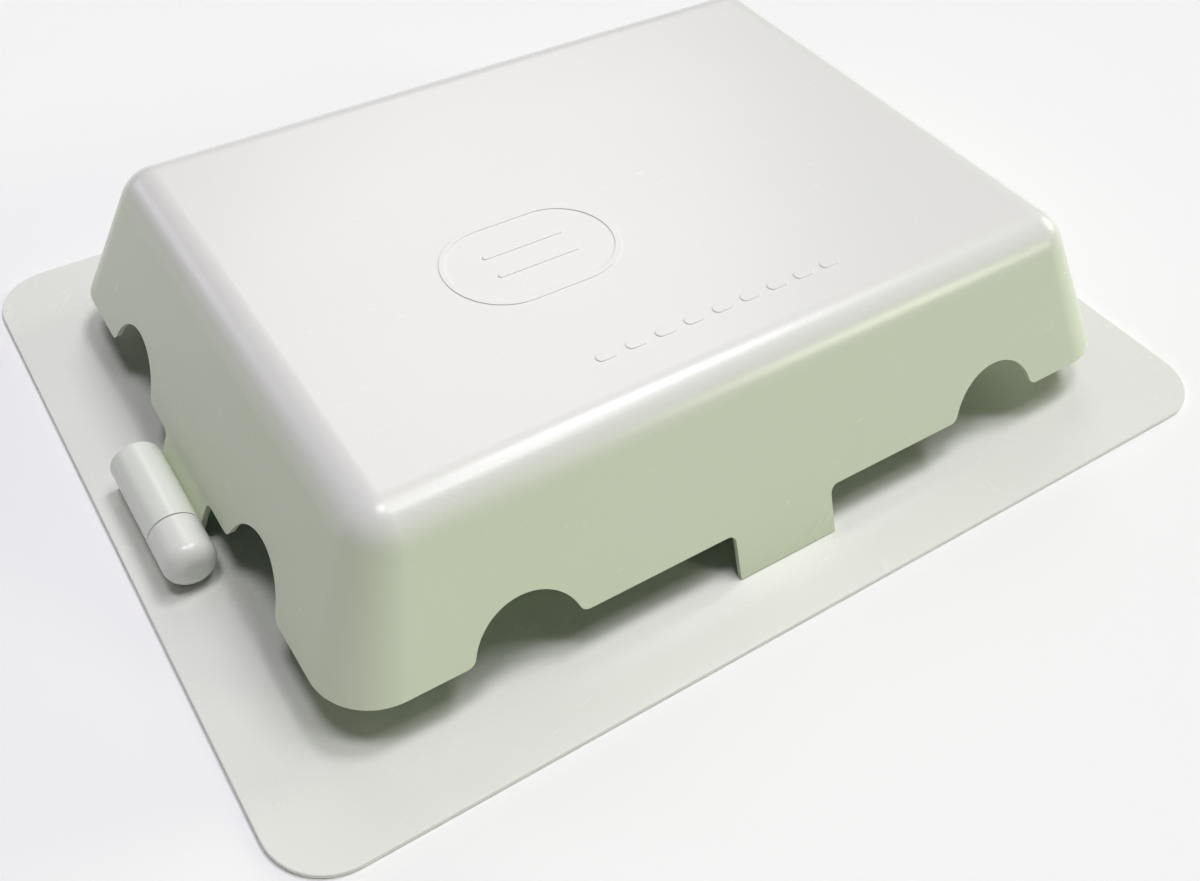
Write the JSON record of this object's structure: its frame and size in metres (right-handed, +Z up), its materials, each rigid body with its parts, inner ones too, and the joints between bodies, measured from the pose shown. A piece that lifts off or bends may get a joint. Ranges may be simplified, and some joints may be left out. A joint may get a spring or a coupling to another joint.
{
  "type": "vented foam brick case",
  "caption": "Vented case for a floral foam brick: a drafted hood with arched vents, hinged at one end of a thin flanged base plate that carries a drip tray.",
  "frame": {"origin": "centre of the base plate's underside, on the surface the case stands on", "axes": "+X along the long side away from the hinge, +Y across to the back, +Z up through the hood"},
  "size_m": [0.32, 0.252, 0.0614],
  "materials": {
    "hood_plastic": "satin",
    "base_plastic": "satin",
    "pin_steel": "brushed",
    "tray_plastic": "gloss",
    "anchor_plastic": "matte",
    "foam": "matte"
  },
  "bodies": {
    "base": {"base_plate": "base_plastic", "hinge_post": "base_plastic", "hinge_pin": "pin_steel", "latch_catch": "base_plastic", "foam_tray": "tray_plastic", "left_anchor": "anchor_plastic", "right_anchor": "anchor_plastic", "foam_brick": "foam"},
    "cover": {"hood": "hood_plastic", "hinge_barrel": "hood_plastic", "latch_tongue": "hood_plastic", "top_relief": "hood_plastic"}
  },
  "joints": [
    {"name": "hood_hinge", "type": "hinge", "parent": "base", "child": "cover", "pos_m": [-0.14516, 0, 0.0094], "axis": [0, -1, 0], "range_deg": [0, 130]}
  ]
}
